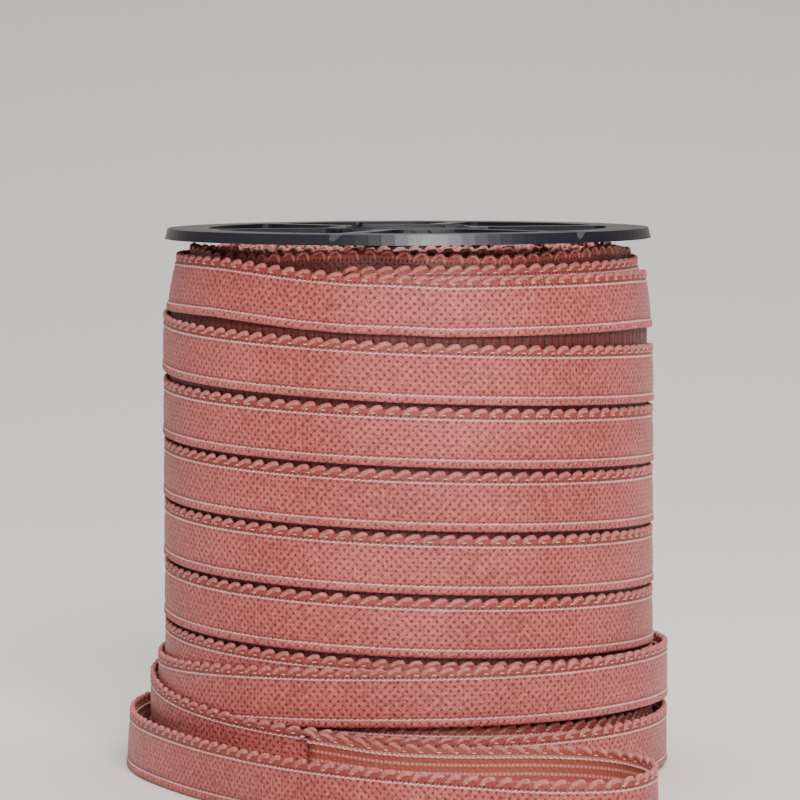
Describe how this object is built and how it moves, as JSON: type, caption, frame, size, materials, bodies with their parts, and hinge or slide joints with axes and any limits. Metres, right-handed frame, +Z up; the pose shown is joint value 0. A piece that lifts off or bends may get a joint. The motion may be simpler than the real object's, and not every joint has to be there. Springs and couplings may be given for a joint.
{
  "type": "roll of picot elastic on a reel",
  "caption": "Roll of narrow picot-edged elastic tape wound on a spoked plastic reel, last turns slipped loose and the free end looped forward on the table.",
  "frame": {"origin": "middle of the foot of the whole object's box, on the surface it stands on; the reel's axis is 2.5 mm towards +X and 18.9 mm towards +Y from it", "axes": "+Z up along the reel's axis; the free end lies towards -Y, the front; +X to the right seen from the front"},
  "size_m": [0.112, 0.1516, 0.1117],
  "materials": {
    "reel_plastic": "black moulded plastic with a soft sheen",
    "elastic": "dusty pink knitted elastic, picots along one edge, brick-red on its wrong side"
  },
  "bodies": {
    "root": {"reel_flange_top": "reel_plastic", "reel_flange_bottom": "reel_plastic", "reel_barrel": "reel_plastic", "winding": "elastic", "loose_end": "elastic"}
  },
  "joints": []
}
